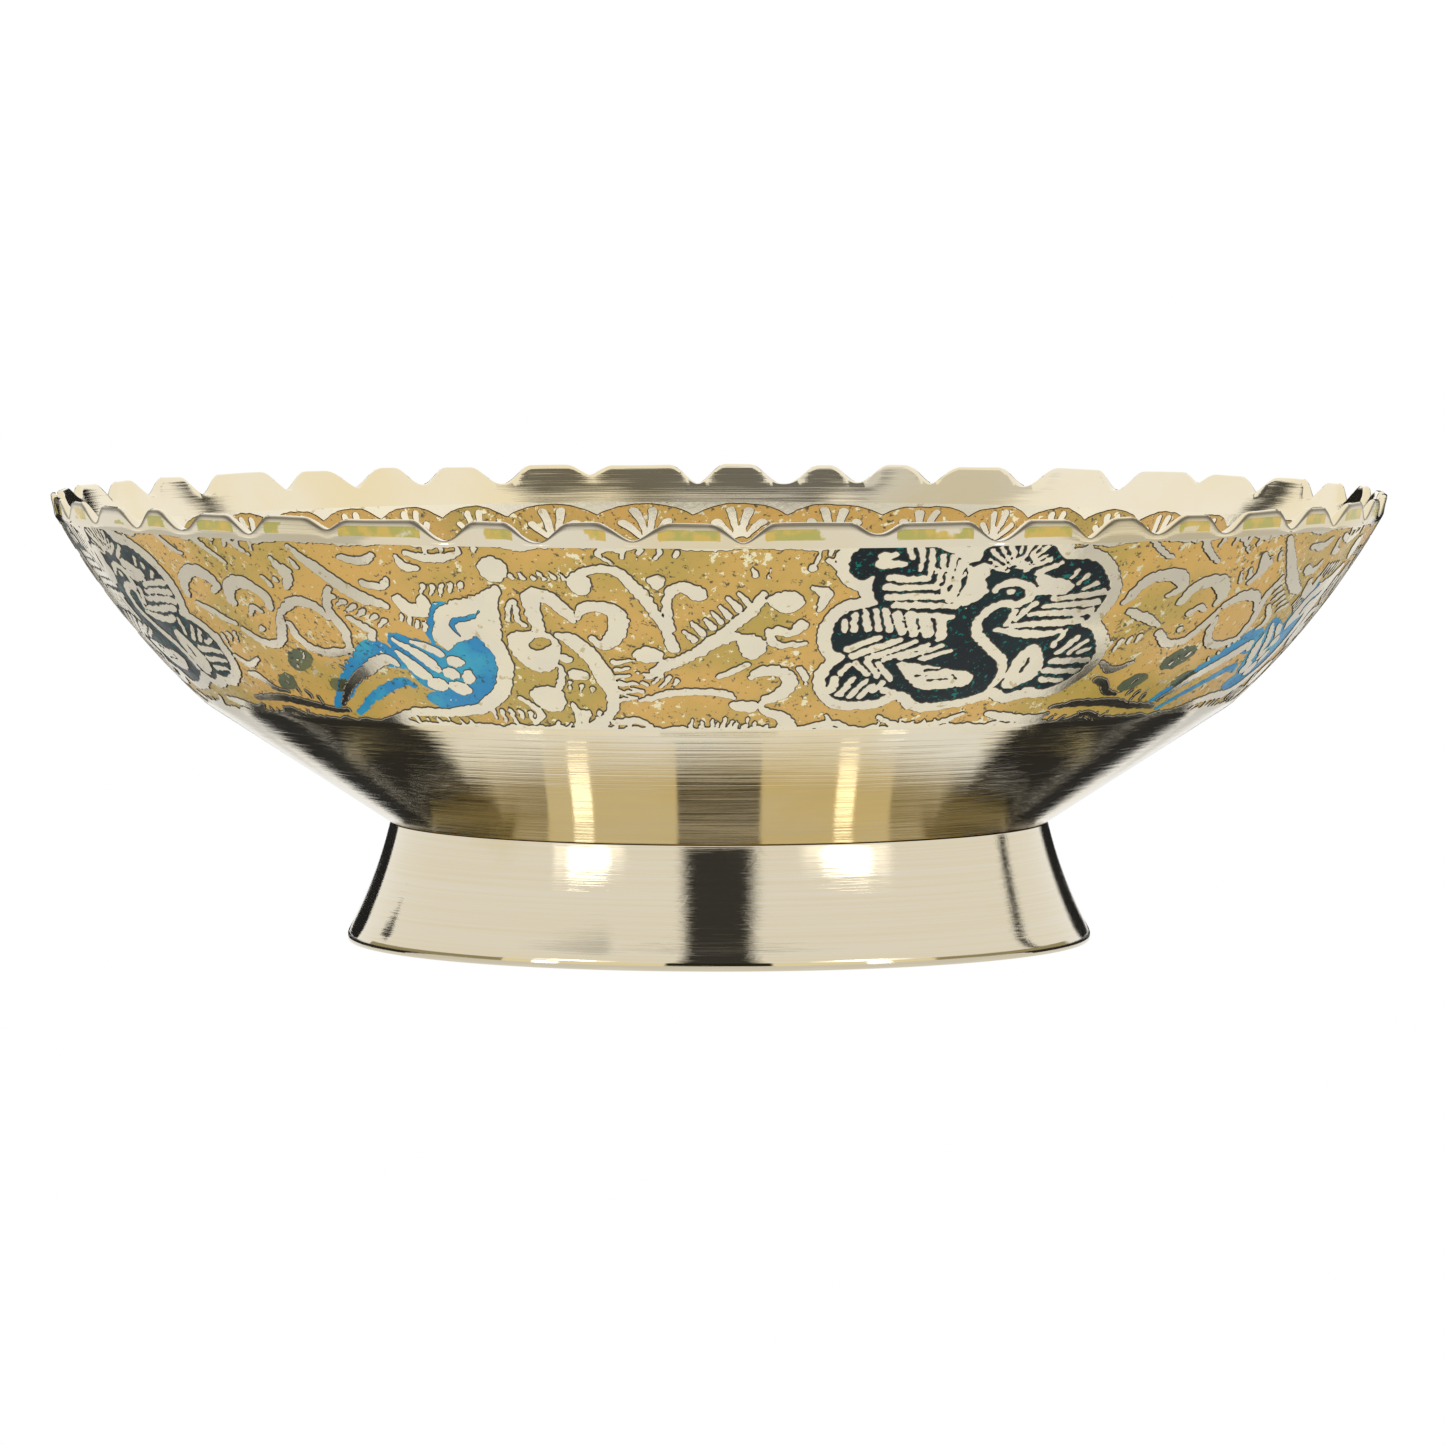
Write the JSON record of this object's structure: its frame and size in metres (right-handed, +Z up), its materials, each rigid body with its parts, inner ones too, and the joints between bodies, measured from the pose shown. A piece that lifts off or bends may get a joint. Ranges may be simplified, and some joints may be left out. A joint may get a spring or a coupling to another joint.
{
  "type": "footed brass bowl",
  "caption": "Round footed brass bowl with a notched rim, engraved and colour-filled figures outside and inside, for fruit, flowers or floating candles.",
  "frame": {"origin": "middle of the foot's underside, on the surface that the bowl stands on", "axes": "+Z up along the bowl's axis; -Y is the side with one bird left of the middle and one peacock right of it"},
  "size_m": [0.2032, 0.2032, 0.0683],
  "materials": {
    "bowl_brass": "polished, hand filed and engraved",
    "foot_brass": "spun and polished, with fine lathe lines",
    "solder": null,
    "ochre_enamel": "speckled ochre lacquer enamel, rubbed flat",
    "blue_enamel": "turquoise blue lacquer enamel",
    "green_enamel": "deep green lacquer enamel",
    "peacock_enamel": "black-green lacquer enamel"
  },
  "bodies": {
    "root": {"bowl": "bowl_brass", "foot_ring": "foot_brass", "solder_fillet": "solder", "outer_ground_enamel": "ochre_enamel", "inner_ground_enamel": "ochre_enamel", "floor_ground_enamel": "ochre_enamel", "floor_petals_enamel": "blue_enamel", "floor_leaves_enamel": "green_enamel", "peacock_enamel_1": "peacock_enamel", "peacock_enamel_2": "peacock_enamel", "peacock_enamel_3": "peacock_enamel", "peacock_enamel_4": "peacock_enamel", "bluebird_enamel_1": "blue_enamel", "bluebird_enamel_2": "blue_enamel", "bluebird_enamel_3": "blue_enamel", "bluebird_enamel_4": "blue_enamel"}
  },
  "joints": []
}
